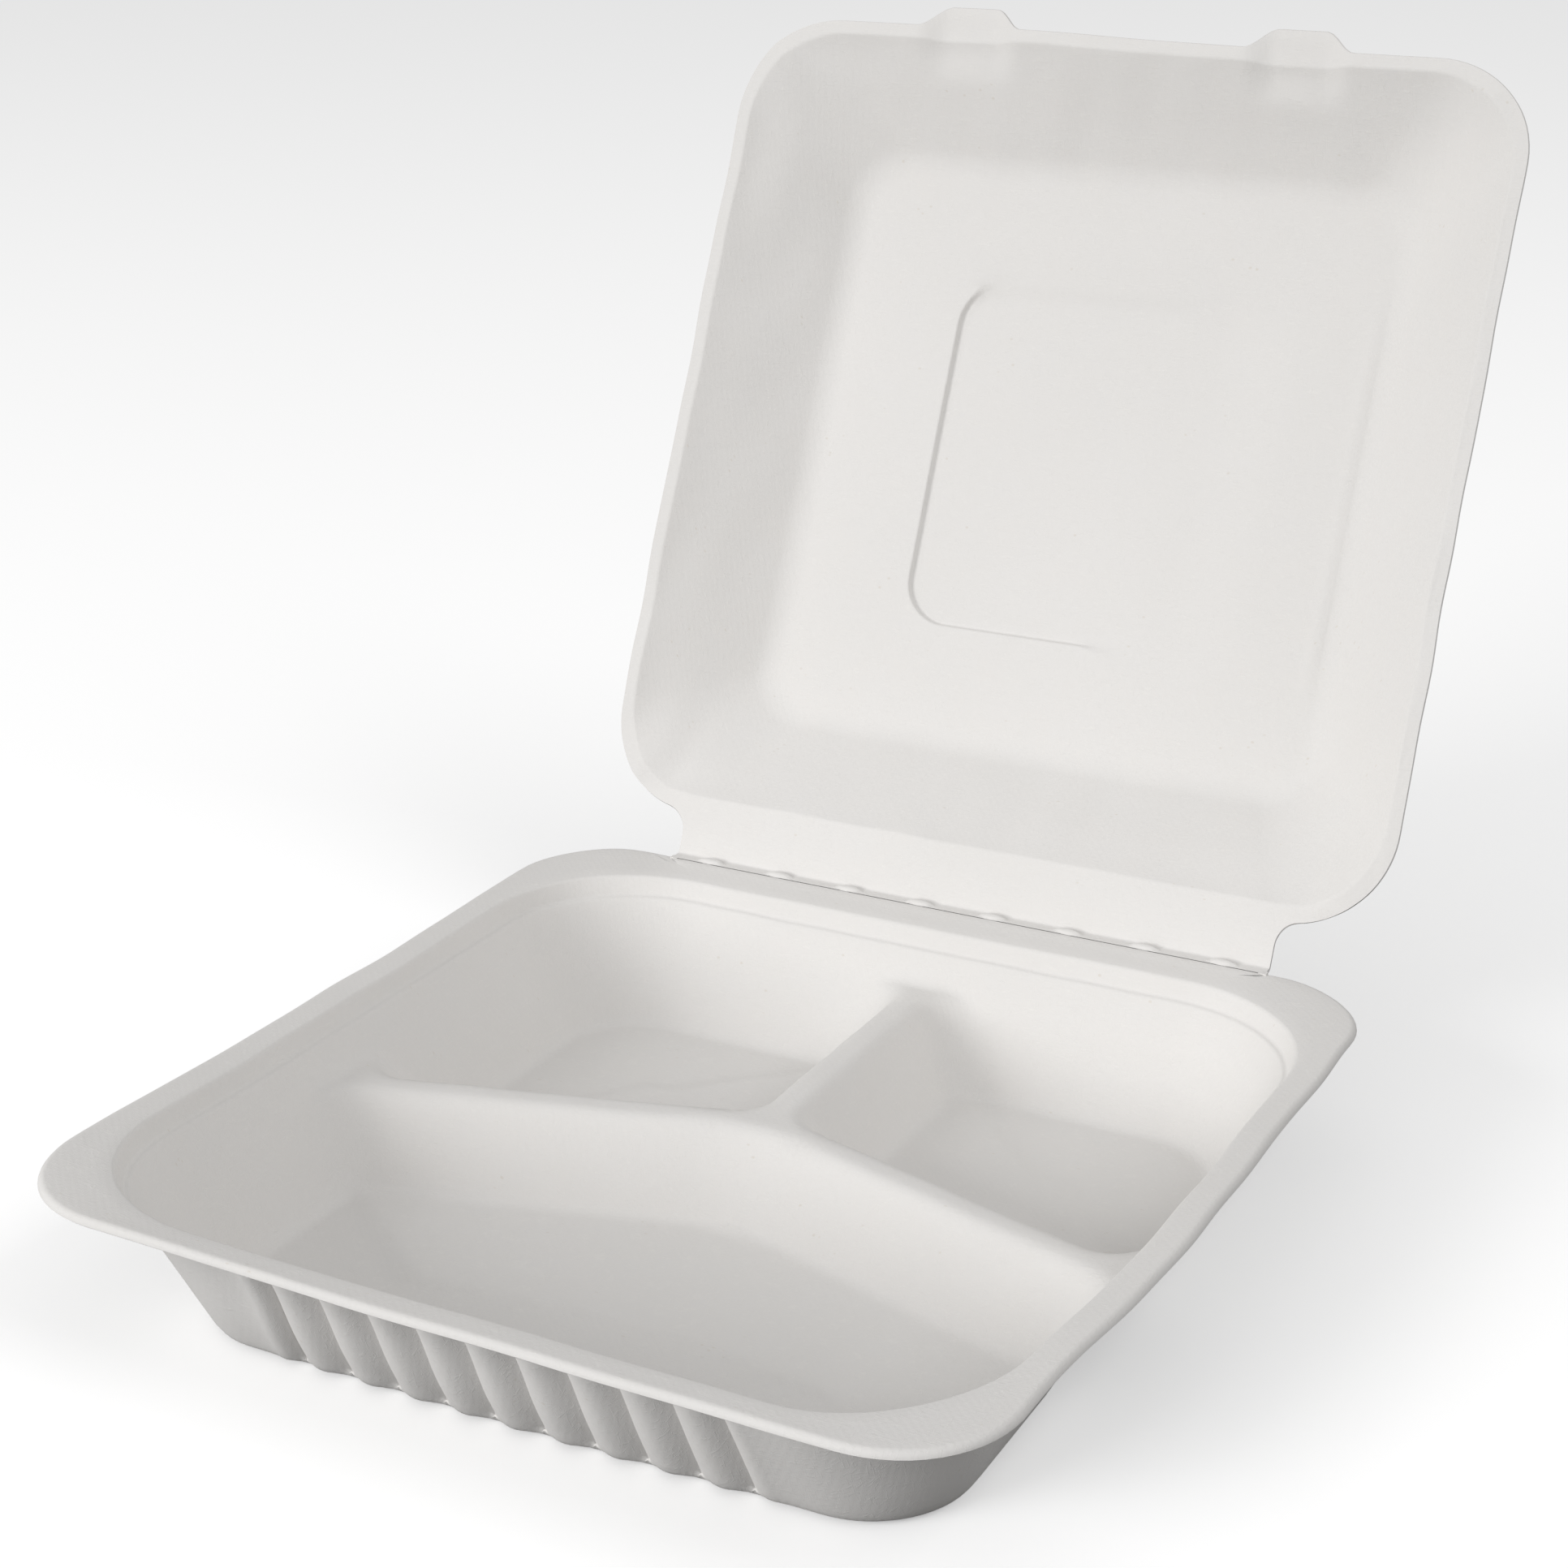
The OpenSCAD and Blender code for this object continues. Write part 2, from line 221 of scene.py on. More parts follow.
def around_tray(out, share):
    """One ring round the tray at a distance past the foot, and its groove depth, from the front left."""
    half = foot + out
    if out > 0:
        radius = (foot_corner + out) * (1 - share) + (rim_corner + out - (tray_half - foot)) * share
    else:
        radius = foot_corner * half / foot
    flat = half - radius
    edge = 64.5 * min(1.0, flat / 67)
    grooved = front_columns * edge / 64.5
    ends = np.array([0.25, 0.5, 0.75])
    plain = edge + (flat - edge) * ends
    front_x = np.concatenate([[-flat], -plain[::-1], grooved, plain])
    corner = np.radians(np.arange(15) * 6)
    side = np.linspace(-1, 1, 72)[1:-1]
    back = half + share * hinge_flange
    strip_side = min(1.0, flat / 86)
    back_x = np.concatenate(
        [
            np.linspace(flat, (hinge_half + 0.6) * strip_side, 4)[1:-1],
            np.linspace(hinge_half + 0.6, -hinge_half - 0.6, 76) * strip_side,
            np.linspace((-hinge_half - 0.6) * strip_side, -flat, 4)[1:-1],
        ]
    )
    lo, hi = -half + radius, back - radius
    ring = [np.stack([front_x, np.full(len(front_x), -half)], 1)]
    for cx, cy, turn in ((flat, lo, -90), (flat, hi, 0), (-flat, hi, 90), (-flat, lo, 180)):
        a = corner + math.radians(turn)
        ring.append(np.stack([cx + radius * np.cos(a), cy + radius * np.sin(a)], 1))
        if turn == -90:
            ring.append(np.stack([np.full(70, half), lo + (hi - lo) * (side + 1) / 2], 1))
        if turn == 0:
            ring.append(np.stack([back_x, np.full(len(back_x), back)], 1))
        if turn == 90:
            ring.append(np.stack([np.full(70, -half), hi + (lo - hi) * (side + 1) / 2], 1))
    return np.concatenate(ring)


ledge_z = tray_height - step_height
wall_top = (ledge_z - sheet) * lean
crease = wall_top + ledge + step_run
flange_rise = 0.9
edge_out = crease + flange
rim_line = arcs_in(
    [
        (wall_top - 1.2, ledge_z - 1.2 / lean, 0, 0),
        (wall_top, ledge_z, 1.2, 0),
        (wall_top + ledge, ledge_z + 0.25, 1.1, 0),
        (crease, tray_height - flange_rise, 1.2, 0.04),
        (crease + 2.6, tray_height - flange_rise * 0.67, 0, 0.25),
        (crease + 4.2, tray_height - flange_rise * 0.46, 0, 0.5),
        (crease + 5.6, tray_height - flange_rise * 0.28, 0, 0.75),
        (edge_out - 0.35, tray_height, 1.5, 1),
        (edge_out, tray_height - 1.6, 0, 1),
    ]
)

middle_outs = np.concatenate([np.linspace(-foot + 1.2, -7, 44), np.linspace(-6.2, -0.4, 9)])
wall_outs = np.linspace(0.3, wall_top - 1.6, 15)
tray_rings = []
for out in np.concatenate([middle_outs, wall_outs]):
    ring = around_tray(out, 0)
    tray_rings.append((ring, tray_surface(ring[:, 0], ring[:, 1]), 0.0))
for out, up, share in rim_line:
    ring = around_tray(out, share)
    tray_rings.append((ring, np.full(len(ring), up), share))

tray_top = np.array([np.column_stack([ring, height]) for ring, height, share in tray_rings])
tray_share = np.array([share for ring, height, share in tray_rings])[:, None]

# The grooves start in the round at the bottom and run out just under the ledge
grooved = ramp(tray_top[..., 2], 0.9, 2.4) * (1 - ramp(tray_top[..., 2], ledge_z - 2.4, ledge_z - 0.5))
on_front = (tray_top[..., 1] < -foot + 12) & (np.abs(tray_top[..., 0]) < 66)
tray_top[..., 1] += groove_at(tray_top[..., 0]) * grooved * on_front


def strip_reach(x):
    """How much of the hinge strip there is at x: 1 on the strip, 0 on the plain rim beside it."""
    return 1 - ramp(np.abs(x), hinge_half - 0.5, hinge_half + 0.6)


web_start = fold_y - 3.7
at_back = (tray_top[..., 1] > tray_half - 6) & (tray_share > 0)
on_strip = strip_reach(tray_top[..., 0]) * at_back * ramp(tray_share, 0.25, 1)
tray_top[..., 2] += (tray_height - tray_top[..., 2]) * strip_reach(tray_top[..., 0]) * at_back * (
    tray_share > 0.9
)
tray_top[..., 1] += (web_start - tray_half - hinge_flange) * on_strip


def lean_in(p):
    """The small faults of a real box: wavy rim, a side drawn in, a corner that droops."""
    x, y, z = p[..., 0], p[..., 1], p[..., 2]
    high = ramp(z, 4, tray_height)
    top = ramp(z, tray_height - 4, tray_height - 1)
    rim = top * (1 - strip_reach(x) * ramp(y, tray_half - 12, tray_half))
    from_strip = 1 - (1 - ramp(np.abs(x), 85, 100)) * ramp(y, tray_half - 14, tray_half)
    out = np.array(p)
    side = np.sign(x) * ramp(np.abs(x), 70, 100)
    end = np.sign(y) * ramp(np.abs(y), 70, 100)
    along = np.stack([x, y], -1)
    drawn = (0.8 + np.exp(-(((y + 84) / 38) ** 2)) * 5.2) * high * ramp(x, 40, 95)
    pushed = 1.0 * high * ramp(-x, 60, 100)
    out[..., 0] += side * rim * 0.35 * waves(along, 3, 26, 90) - (drawn + pushed) * from_strip
    out[..., 1] += end * rim * 0.3 * waves(along, 4, 26, 90) * (end < 0)
    out[..., 2] += -0.35 * rim * (0.5 + 0.5 * waves(along, 5, 40, 140))
    lifted = ramp(-x - y, 130, 215) * high
    out[..., 2] += 1.6 * lifted + 0.7 * ramp(y - x, 150, 215) * high * from_strip
    low_front = ramp(-y, 55, 82) * (1 - ramp(z, 6, 26)) * ramp(x, -88, -66) * (1 - ramp(x, -10, 75))
    out[..., 1] -= 1.9 * low_front
    soft = waves(np.stack([x, y, z], -1), 6, 18, 60) * 0.12 * ramp(z, 2, 8)
    out[..., 2] += soft * (1 - top)
    return out


def facing(grid, closed):
    """Directions square to a grid of points, towards the side that its rows turn to."""
    if closed:
        along = np.roll(grid, -1, 1) - np.roll(grid, 1, 1)
    else:
        along = np.gradient(grid, axis=1)
    across = np.gradient(grid, axis=0)
    square = np.cross(across, along)
    return square / np.maximum(np.linalg.norm(square, axis=-1, keepdims=True), 1e-9)


def pressed_sheet(name, upper, thickness, bend_edge=0.25):
    """Closed mesh of a pressed sheet from the rings of its upper side, from the middle outwards."""
    square = facing(upper, True)
    lower = upper - square * thickness[..., None]
    rim = (upper[-1] + lower[-1]) / 2
    outward = upper[-1] - upper[-2]
    outward /= np.linalg.norm(outward, axis=-1, keepdims=True)
    rim = rim + outward * bend_edge
    rings, n = len(upper), upper.shape[1]
    points = np.concatenate(
        [upper.reshape(-1, 3), rim, lower[::-1].reshape(-1, 3), upper[0].mean(0)[None], lower[0].mean(0)[None]]
    )
    rows = 2 * rings + 1
    i = np.arange(n)
    j = (i + 1) % n
    faces = []
    for k in range(rows - 1):
        faces.append(np.stack([k * n + i, (k + 1) * n + i, (k + 1) * n + j, k * n + j], 1))
    quads = np.concatenate(faces).tolist()
    top, bottom = rows * n, rows * n + 1
    fans = [[top, a, b] for a, b in zip(i.tolist(), j.tolist())]
    last = (rows - 1) * n
    fans += [[bottom, last + b, last + a] for a, b in zip(i.tolist(), j.tolist())]
    mesh = bpy.data.meshes.new(name)
    mesh.from_pydata((points / 1000).tolist(), [], quads + fans)
    mesh.validate()
    mesh.polygons.foreach_set("use_smooth", [True] * len(mesh.polygons))
    mesh.set_sharp_from_angle(angle=math.radians(48))
    piece = bpy.data.objects.new(name, mesh)
    bpy.context.scene.collection.objects.link(piece)
    return piece


class Signal:
    """A value inside a finish. Sums written with it add the nodes that work them out."""

    def __init__(self, finish, socket):
        self.finish, self.socket = finish, socket

    def worked(self, how, first, second):
        return self.finish.node("ShaderNodeMath", {"operation": how}, {0: first, 1: second})

    def __add__(self, other):
        return self.worked("ADD", self, other)

    def __radd__(self, other):
        return self.worked("ADD", other, self)

    def __sub__(self, other):
        return self.worked("SUBTRACT", self, other)

    def __rsub__(self, other):
        return self.worked("SUBTRACT", other, self)

    def __mul__(self, other):
        return self.worked("MULTIPLY", self, other)

    def __rmul__(self, other):
        return self.worked("MULTIPLY", other, self)

    def __gt__(self, other):
        return self.worked("GREATER_THAN", self, other)


class Finish:
    """A material in the making."""

    def __init__(self, name):
        self.material = bpy.data.materials.new(name)
        self.material.use_nodes = True
        self.tree = self.material.node_tree
        self.tree.nodes.clear()

    def node(self, kind, settings, sockets, result=0):
        made = self.tree.nodes.new(kind)
        for key, value in settings.items():
            if key == "stops":
                ramp_line = made.color_ramp
                while len(ramp_line.elements) < len(value):
                    ramp_line.elements.new(0.5)
                for stop, (place, colour) in zip(ramp_line.elements, value):
                    stop.position, stop.color = place, colour
            else:
                setattr(made, key, value)
        for key, value in sockets.items():
            if isinstance(value, Signal):
                self.tree.links.new(value.socket, made.inputs[key])
            else:
                made.inputs[key].default_value = value
        return Signal(self, made.outputs[result]) if len(made.outputs) else None

    def mixed(self, amount, first, second):
        """Colour between two colours."""
        return self.node("ShaderNodeMix", {"data_type": "RGBA"}, {0: amount, 6: first, 7: second}, 2)


# Bagasse pulp: warm white, with short pale and straw-coloured fibres pressed flat, a faint print of the
# mould's wire screen, and thicker and thinner clouds. It is matt, and a little smoother where the mould
# pressed hardest.
def bagasse(name, screen_strength, fibre_strength):
    finish = Finish(name)
    place = finish.node("ShaderNodeTexCoord", {}, {}, "Object")

    def cloud(scale, detail, rough=0.5, where=place):
        return finish.node(
            "ShaderNodeTexNoise", {}, {"Vector": where, "Scale": scale, "Detail": detail, "Roughness": rough}
        )

    def turned(angles, stretch):
        return finish.node(
            "ShaderNodeMapping", {}, {"Vector": place, "Rotation": angles, "Scale": stretch}
        )

    wide_cloud = cloud(14, 3)
    small_cloud = cloud(90, 4, 0.6)
    fine_grain = cloud(1500, 3, 0.7)
    fibres = None
    for angles, stretch in (
        ((0.3, 0.2, 0.4), (1, 9, 1)),
        ((1.1, 0.5, 1.7), (9, 1, 1)),
        ((0.2, 1.3, 2.6), (1, 1, 9)),
        ((0.9, 2.0, 0.8), (1, 8, 8)),
    ):
        strand = cloud(260, 2, 0.6, turned(angles, stretch))
        line = finish.node(
            "ShaderNodeValToRGB",
            {"stops": [(0.0, (0, 0, 0, 1)), (0.6, (0, 0, 0, 1)), (0.68, (1, 1, 1, 1)), (0.76, (0, 0, 0, 1))]},
            {"Fac": strand},
        )
        level = finish.node("ShaderNodeRGBToBW", {}, {"Color": line})
        fibres = level if fibres is None else fibres + level
    fleck_cells = finish.node(
        "ShaderNodeTexVoronoi", {}, {"Vector": turned((0.4, 0.8, 0.3), (1, 2.6, 1)), "Scale": 260}
    )
    fleck_here = cloud(70, 2) > 0.62
    flecks = finish.node(
        "ShaderNodeMapRange",
        {},
        {"Value": fleck_cells, "From Min": 0.07, "From Max": 0.16, "To Min": 1.0, "To Max": 0.0},
    )
    flecks = flecks * fleck_here
    plain = finish.mixed(wide_cloud, (0.765, 0.752, 0.735, 1), (0.81, 0.797, 0.785, 1))
    clouded = finish.mixed(small_cloud * 0.5, plain, (0.80, 0.775, 0.745, 1))
    strands = finish.mixed(fibres * 0.16, clouded, (0.88, 0.865, 0.83, 1))
    colour = finish.mixed(flecks * 0.22, strands, (0.56, 0.47, 0.34, 1))
    screen = 0
    for angles in ((0, 0, 0.785), (0, 0, -0.785)):
        weave = finish.node(
            "ShaderNodeTexWave", {"wave_profile": "SIN"}, {"Vector": turned(angles, (1, 1, 1)), "Scale": 200}
        )
        screen = weave + screen
    relief = (
        fibres * fibre_strength
        + fine_grain * 0.35
        + small_cloud * 0.5
        + screen * screen_strength
    )
    bumped = finish.node("ShaderNodeBump", {}, {"Height": relief, "Strength": 0.35, "Distance": 0.00025})
    roughness = 0.86 - small_cloud * 0.12 + fibres * 0.04
    body = finish.node(
        "ShaderNodeBsdfPrincipled",
        {},
        {
            "Base Color": colour,
            "Roughness": roughness,
            "Normal": bumped,
            "Specular IOR Level": 0.15,
        },
    )
    finish.node("ShaderNodeOutputMaterial", {}, {"Surface": body})
    return finish.material


pulp = bagasse("moulded_pulp", 0.12, 0.3)

tray_points = lean_in(tray_top) + to_part
tray_thickness = np.full(tray_points.shape[:2], sheet)
tray = pressed_sheet("pulp_tray", tray_points, tray_thickness)
tray.data.materials.append(pulp)
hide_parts("base_tray")
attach(tray, "tray_body")

# Lid
# The other half of the same sheet, a shallow dish with a raised field, two closing tabs at its front
# edge with a pressed spout below each, and a strip with a notch at each end that leads to the fold.
# It is made lying flat, in millimetres from the fold, and then turned up to its place.
lid_half_x = 108.0
lid_half_y = 109.5
lid_middle = lid_half_y + 12.3
lid_corner = 26.0
lid_depth = 25.0
lid_lean = math.tan(math.radians(47))
notch = 8.0
tab_middle, tab_width, tab_reach = 46.0, 31.0, 5.7
spout = 3.0
opened = math.radians(180 - 114.3)
panel_round = 11.0
panel_in = 3.4 + lid_depth * lid_lean + panel_round * math.tan(math.radians(21.5))
web_end = 2.2


def tab_share(x):
    """How far a tab or spout is formed at x along the front edge, from 0 to 1."""
    away = np.abs(np.abs(x) - tab_middle) / tab_width
    return 1 - ramp(away, 0.2, 0.47)


def around_lid(inward, radius, strip):
    """One ring round the lid, inward from its edge; strip 1 follows the hinge strip and the tabs."""
    hx, hy = lid_half_x - inward, lid_half_y - inward
    cx, cy = hx - radius, hy - radius
    centre_x = hinge_half + notch
    turn = math.acos((centre_x - cx) / (radius + notch)) if strip else math.pi / 2
    notch_y = cy + (radius + notch) * math.sin(turn)
    steps = np.arange(19) / 18
    corner = np.stack([cx + radius * np.cos(turn * steps), cy + radius * np.sin(turn * steps)], 1)
    k = np.arange(1, 13) / 12
    across = np.linspace(1, 0, 61)[1:]
    if strip:
        a = math.pi + turn * (1 - k)
        neck = np.stack([centre_x + notch * np.cos(a), notch_y + notch * np.sin(a)], 1)
        fold_line = lid_middle - web_end
        side = np.stack([np.full(4, hinge_half), notch_y + (fold_line - notch_y) * np.arange(1, 5) / 4], 1)
        last = np.stack([hinge_half * across, np.full(60, fold_line)], 1)
    else:
        turn_in = min(hinge_half, cx) * 0.985
        neck_x = cx + (turn_in - cx) * np.arange(1, 17) / 16
        neck = np.stack([neck_x[:12], np.full(12, hy)], 1)
        side = np.stack([neck_x[12:], np.full(4, hy)], 1)
        last = np.stack([turn_in * across, np.full(60, hy)], 1)
    quarter = np.concatenate([corner, neck, side, last])
    back = np.concatenate([-quarter, (quarter * [1, -1])[::-1][1:]])
    front_corner = np.stack([cx + radius * np.cos(steps * math.pi / 2), cy + radius * np.sin(steps * math.pi / 2)], 1)
    share = np.linspace(1, -1, 112)[1:-1]
    front = np.stack([share * cx, np.full(110, hy)], 1)
    if strip:
        front[:, 1] += tab_share(front[:, 0]) * tab_reach
    side_y = np.linspace(-cy, cy, 64)[1:-1]
    right = np.stack([np.full(62, hx), side_y], 1)
    left = np.stack([np.full(62, -hx), -side_y], 1)
    mirrored = (front_corner * [-1, 1])[::-1]
    return np.concatenate([back, right, front_corner, front, mirrored, left])


lid_line = arcs_in(
    [
        (0, 0, 0, 0),
        (3.4, 0, 1.4, 0),
        (3.4 + lid_depth * lid_lean, -lid_depth, panel_round, 0),
        (panel_in + 6, -lid_depth, 0, 0),
    ],
    8,
)[1:-1]
lid_line = [(0.0, 0.0, t) for t in (1.0, 0.86, 0.72, 0.58, 0.44, 0.3, 0.16)] + [(2.6, 0.0, 0)] + lid_line
finer = []
for a, b in zip(lid_line[:-1], lid_line[1:]):
    pieces_here = 1 if a[2] > 0 else max(1, int(math.dist(a[:2], b[:2]) / 1.6))
    for i in range(pieces_here):
        t = i / pieces_here
        finer.append(tuple(p + (q - p) * t for p, q in zip(a, b)))
finer.append(lid_line[-1])

outer_ring = around_lid(0, lid_corner, True)
lid_rings = []
for inward, up, strip in finer:
    radius = lid_corner + (12 - lid_corner) * inward / panel_in
    if strip > 0:
        plain_ring = around_lid(2.6, lid_corner + (12 - lid_corner) * 2.6 / panel_in, False)
        ring = plain_ring + (outer_ring - plain_ring) * strip
    else:
        ring = around_lid(inward, radius, False)
    lid_rings.append(np.column_stack([ring, np.full(len(ring), up)]))

field_x, field_y, field_round, field_depth = 43.0, 47.5, 12.0, 1.8
panel_x, panel_y = lid_half_x - panel_in, lid_half_y - panel_in


def panel_ring(hx, hy, radius, up):
    ring = around_lid(0, lid_corner, False)
    ax, ay = lid_half_x - lid_corner, lid_half_y - lid_corner
    bx, by = hx - radius, hy - radius
    kx = np.clip(ring[:, 0] / ax, -1, 1)
    ky = np.clip(ring[:, 1] / ay, -1, 1)
    corner_x = (ring[:, 0] - kx * ax) / lid_corner
    corner_y = (ring[:, 1] - ky * ay) / lid_corner
    placed = np.stack([kx * bx + corner_x * radius, ky * by + corner_y * radius], 1)
    return np.column_stack([placed, np.full(len(placed), up)])


for t in np.linspace(0, 1, 13)[1:-1]:
    lid_rings.append(
        panel_ring(
            panel_x + (field_x + 1.6 - panel_x) * t,
            panel_y + (field_y + 1.6 - panel_y) * t,
            12 + (field_round + 1.6 - 12) * t,
            -lid_depth,
        )
    )
for out in (1.4, 1.1, 0.8, 0.5, 0.25, 0.0, -0.25, -0.7):
    lid_rings.append(panel_ring(field_x + out, field_y + out, field_round + out, -lid_depth))
for t in np.linspace(0, 1, 22)[1:]:
    keep = 1 - 0.97 * t
    lid_rings.append(
        panel_ring((field_x - 0.7) * keep, (field_y - 0.7) * keep, (field_round - 0.7) * keep, -lid_depth)
    )
lid_top = np.array(lid_rings[::-1])


def field_sink(x, y):
    """How deep the field is sunk: sharp along its left and fold sides, and soft along the other two."""
    qx, qy = np.abs(x) - field_x + field_round, np.abs(y) - field_y + field_round
    past = np.hypot(np.maximum(qx, 0), np.maximum(qy, 0)) + np.minimum(np.maximum(qx, qy), 0) - field_round
    soft = np.maximum(ramp(x, 8, 34), ramp(y, 40, 52) * ramp(x, -43, -30))
    width = 0.9 + soft * 22
    return field_depth * ramp(-past, -0.5 * width, 0.5 * width)


lid_top[..., 2] -= field_sink(lid_top[..., 0], lid_top[..., 1])

# A thin crease marks the right side of the panel
crease_x = lid_half_x - panel_in - 0.5
at_crease = np.exp(-(((lid_top[..., 0] - crease_x) / 1.4) ** 2)) * ramp(lid_top[..., 1], -62, -40)
lid_top[..., 2] += 0.8 * at_crease * (1 - ramp(lid_top[..., 1], 30, 66))

# The spouts under the tabs, and the tabs themselves, are pressed back from the flange
into = lid_half_y - lid_top[..., 1]
near_front = lid_top[..., 1] > 60
spout_share = np.where(
    into < 3.4, 0.55 + 0.45 * ramp(into, -tab_reach, 3.4), 1 - ramp(into, 3.4, 14)
)
lid_top[..., 2] -= tab_share(lid_top[..., 0]) * spout * spout_share * near_front


def lid_unevenness(p):
    """Ripples of the flange and of the wall's line, and a little warp of the panel."""
    out = np.array(p)
    x, y = p[..., 0], p[..., 1]
    along = np.stack([x, y], -1)
    inward = np.minimum(lid_half_x - np.abs(x), lid_half_y - np.abs(y))
    edge = 1 - ramp(inward, 4, 16)
    wall = ramp(inward, 2, 5) * (1 - ramp(inward, 20, 40))
    at_fold = ramp(y, -lid_half_y - 8, -lid_half_y + 4)
    side = np.sign(x) * ramp(np.abs(x), 70, 100)
    out[..., 0] += side * edge * 0.3 * waves(along, 13, 22, 80) * at_fold
    out[..., 0] += (1.0 * ramp(x, 60, 104) - (2.6 + 0.8 * ramp(y, 20, 100)) * ramp(-x, 30, 104)) * at_fold
    out[..., 1] += 1.1 * ramp(-x, -10, 50) * ramp(y, 85, 106)
    out[..., 1] -= 1.1 * ramp(x, -20, 50) * ramp(y, 90, 106) + 1.1 * ramp(np.abs(x), 84, 90) * ramp(-y, 70, 100)
    out[..., 2] += (0.35 * edge * waves(along, 14, 24, 90) + 0.3 * wall * waves(along, 15, 14, 50)) * at_fold
    out[..., 2] += 0.25 * waves(along, 16, 60, 160) * at_fold * (1 - edge)
    # The closed lid clears the rim, also where the tray's left corners are lifted
    out[..., 2] -= edge * at_fold * (0.5 + 1.6 * ramp(y - x, 120, 205) + 0.9 * ramp(-x - y, 140, 210))
    return out


def opened_lid(p):
    """From lying flat to the place where the lid stands open."""
    y, z = p[..., 1] + lid_middle, p[..., 2]
    c, s = math.cos(opened), math.sin(opened)
    placed = np.stack([p[..., 0], fold_y + y * c - z * s, fold_z + y * s + z * c], -1)
    return placed + to_part


lid_points = opened_lid(lid_unevenness(lid_top))
lid = pressed_sheet("pulp_lid", lid_points, np.full(lid_points.shape[:2], sheet))
lid.data.materials.append(pulp)
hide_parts("lid")
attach(lid, "lid_body")

# Fold
# The strip of the same sheet between tray and lid. It is scored along the fold and pressed into eight
# small dimples, and it is built already bent to the lid's open place.
fold_x = np.linspace(-hinge_half, hinge_half, 221)
dimple_places = (np.arange(8) - 3.5) * 20.6
bend_start = fold_y - 0.9
section = [(web_start - 0.3 + (bend_start - web_start + 0.3) * t, tray_height, 0.0) for t in np.linspace(0, 1, 20)]
section += [
    (fold_y - 0.55, tray_height + 0.02, 0.0),
    (fold_y - 0.2, tray_height + 0.12, 0.0),
    (fold_y + 0.02, tray_height + 0.36, 1.0),
]
lid_part = [(0.5, 0.0), (0.9, 0.0), (1.3, 0.0), (1.7, 0.0), (web_end - 0.25, 0.0), (web_end + 0.3, -0.05)]
fold_rows = []
for y, z, share in section:
    row = np.column_stack([fold_x, np.full(len(fold_x), y), np.full(len(fold_x), z)])
    if y < tray_half + hinge_flange - 0.3:
        row[:, 0] *= 1 + 0.4 / hinge_half
    away = np.abs(fold_x[:, None] - dimple_places).min(1)
    in_dimple = np.sqrt(np.clip(1 - (away / 3.7) ** 2 - ((y - fold_y + 2.35) / 1.4) ** 2, 0, 1))
    row[:, 2] += 1.0 * in_dimple
    fold_rows.append(row + to_part)
for v, drop in lid_part:
    row = np.column_stack([fold_x, np.full(len(fold_x), v - lid_middle), np.full(len(fold_x), drop)])
    fold_rows.append(opened_lid(row))
fold_top = np.array(fold_rows)
fold_square = facing(fold_top, False) * -1
if fold_square[0, 0, 2] < 0:
    fold_square = -fold_square
fold_low = fold_top - fold_square * sheet
rows, n = fold_top.shape[:2]
fold_points = np.concatenate([fold_top.reshape(-1, 3), fold_low.reshape(-1, 3)])
fold_faces = []
low = rows * n
for k in range(rows - 1):
    for i in range(n - 1):
        a, b, c, d = k * n + i, k * n + i + 1, (k + 1) * n + i + 1, (k + 1) * n + i
        fold_faces += [[a, b, c, d], [low + d, low + c, low + b, low + a]]
for i in range(n - 1):
    last = (rows - 1) * n
    fold_faces += [[i + 1, i, low + i, low + i + 1], [last + i, last + i + 1, low + last + i + 1, low + last + i]]
for k in range(rows - 1):
    a, b = k * n, (k + 1) * n
    fold_faces += [[a, b, low + b, low + a], [b + n - 1, a + n - 1, low + a + n - 1, low + b + n - 1]]
fold_mesh = bpy.data.meshes.new("pulp_fold")
fold_mesh.from_pydata((fold_points / 1000).tolist(), [], fold_faces)
fold_mesh.validate()
fold_mesh.polygons.foreach_set("use_smooth", [True] * len(fold_mesh.polygons))
fold_mesh.set_sharp_from_angle(angle=math.radians(48))
fold = bpy.data.objects.new("pulp_fold", fold_mesh)
bpy.context.scene.collection.objects.link(fold)
fold.data.materials.append(pulp)
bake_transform(fold)

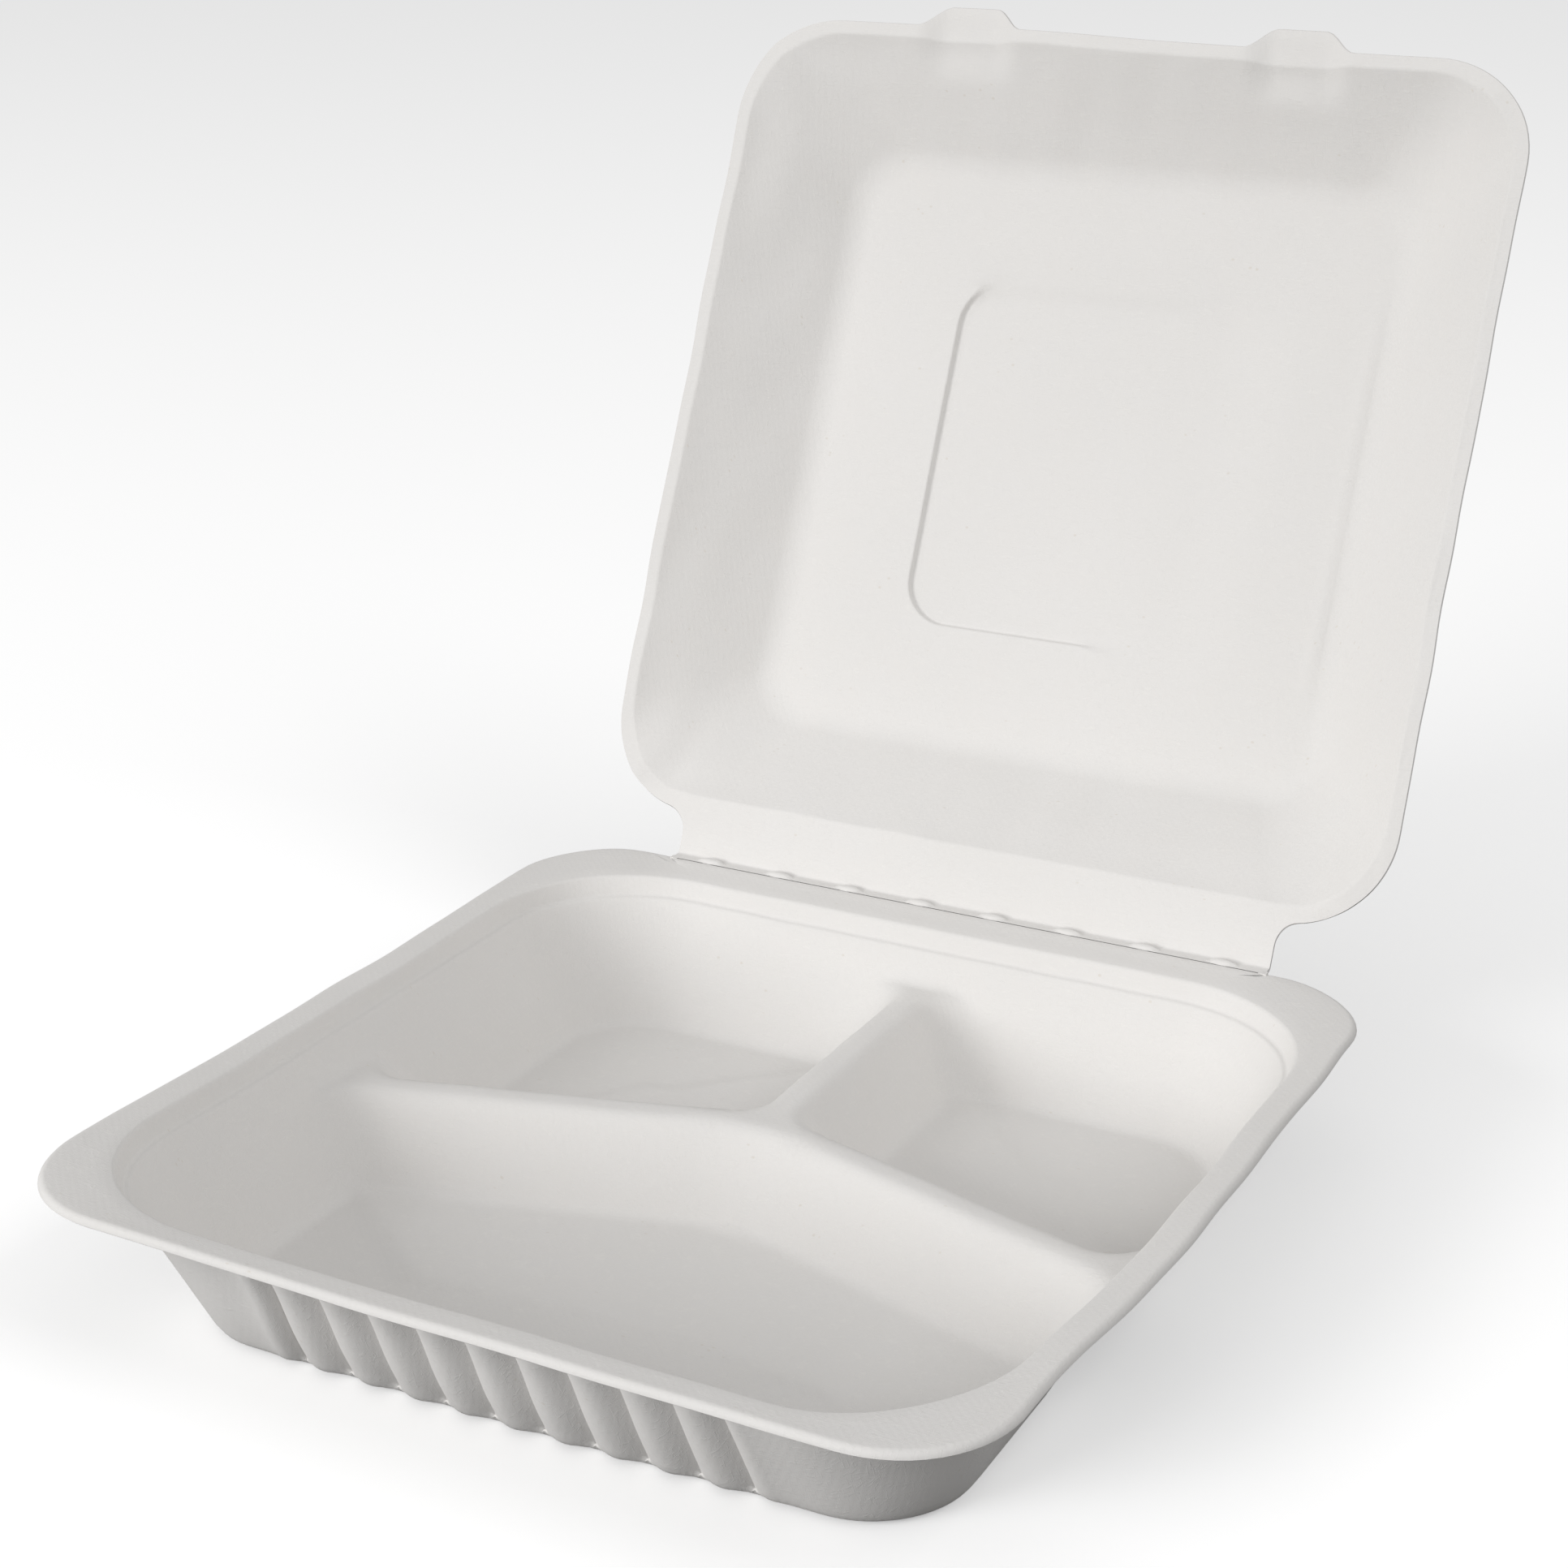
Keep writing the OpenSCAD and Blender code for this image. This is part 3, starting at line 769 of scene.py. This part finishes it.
# Floor
# A plain pale surface under the box, which shows as white to the camera and throws little light back up.
floor_finish = Finish("floor")
dull = floor_finish.node("ShaderNodeBsdfDiffuse", {}, {"Color": (0.15, 0.15, 0.15, 1)})
pale = floor_finish.node("ShaderNodeBsdfDiffuse", {}, {"Color": (0.93, 0.93, 0.93, 1)})
seen = floor_finish.node("ShaderNodeLightPath", {}, {}, "Is Camera Ray")
glossed = floor_finish.node("ShaderNodeLightPath", {}, {}, "Is Glossy Ray")
glow = floor_finish.node("ShaderNodeEmission", {}, {"Color": (1, 1, 1, 1), "Strength": 0.34})
lit = floor_finish.node("ShaderNodeAddShader", {}, {0: pale, 1: glow})
floor_shade = floor_finish.node("ShaderNodeMixShader", {}, {0: seen + glossed, 1: dull, 2: lit})
floor_finish.node("ShaderNodeOutputMaterial", {}, {"Surface": floor_shade})
floor_mesh = bpy.data.meshes.new("floor")
size = 6.0
floor_mesh.from_pydata([(-size, -size, 0), (size, -size, 0), (size, size, 0), (-size, size, 0)], [], [[0, 1, 2, 3]])
floor = bpy.data.objects.new("floor", floor_mesh)
floor_mesh.materials.append(floor_finish.material)
bpy.context.scene.collection.objects.link(floor)

# Light
# One large soft lamp low at the front left, and an even pale sky that shows as white.
world = bpy.data.worlds.new("sky")
bpy.context.scene.world = world
world.use_nodes = True
sky = world.node_tree
sky.nodes.clear()
even = sky.nodes.new("ShaderNodeBackground")
even.inputs["Color"].default_value = (1, 1, 1, 1)
even.inputs["Strength"].default_value = 0.44
white = sky.nodes.new("ShaderNodeBackground")
white.inputs["Color"].default_value = (1, 1, 1, 1)
white.inputs["Strength"].default_value = 1.0
path = sky.nodes.new("ShaderNodeLightPath")
join = sky.nodes.new("ShaderNodeMixShader")
sky_out = sky.nodes.new("ShaderNodeOutputWorld")
sky.links.new(path.outputs["Is Camera Ray"], join.inputs[0])
sky.links.new(even.outputs[0], join.inputs[1])
sky.links.new(white.outputs[0], join.inputs[2])
sky.links.new(join.outputs[0], sky_out.inputs[0])


def lamp(name, place, target, width, power):
    light = bpy.data.lights.new(name, "AREA")
    light.shape = "SQUARE"
    light.size = width
    light.energy = power
    holder = bpy.data.objects.new(name, light)
    holder.location = place
    holder.rotation_mode = "QUATERNION"
    holder.rotation_quaternion = (Vector(target) - Vector(place)).to_track_quat("-Z", "Y")
    bpy.context.scene.collection.objects.link(holder)


lamp("front_left_lamp", (-1.35, -2.45, 0.9), (0, 0.08, 0.1), 1.4, 58)
lamp("right_fill_lamp", (1.6, -0.1, 1.7), (0, 0.08, 0.1), 1.2, 10.5)

bpy.context.scene.view_settings.view_transform = "Standard"
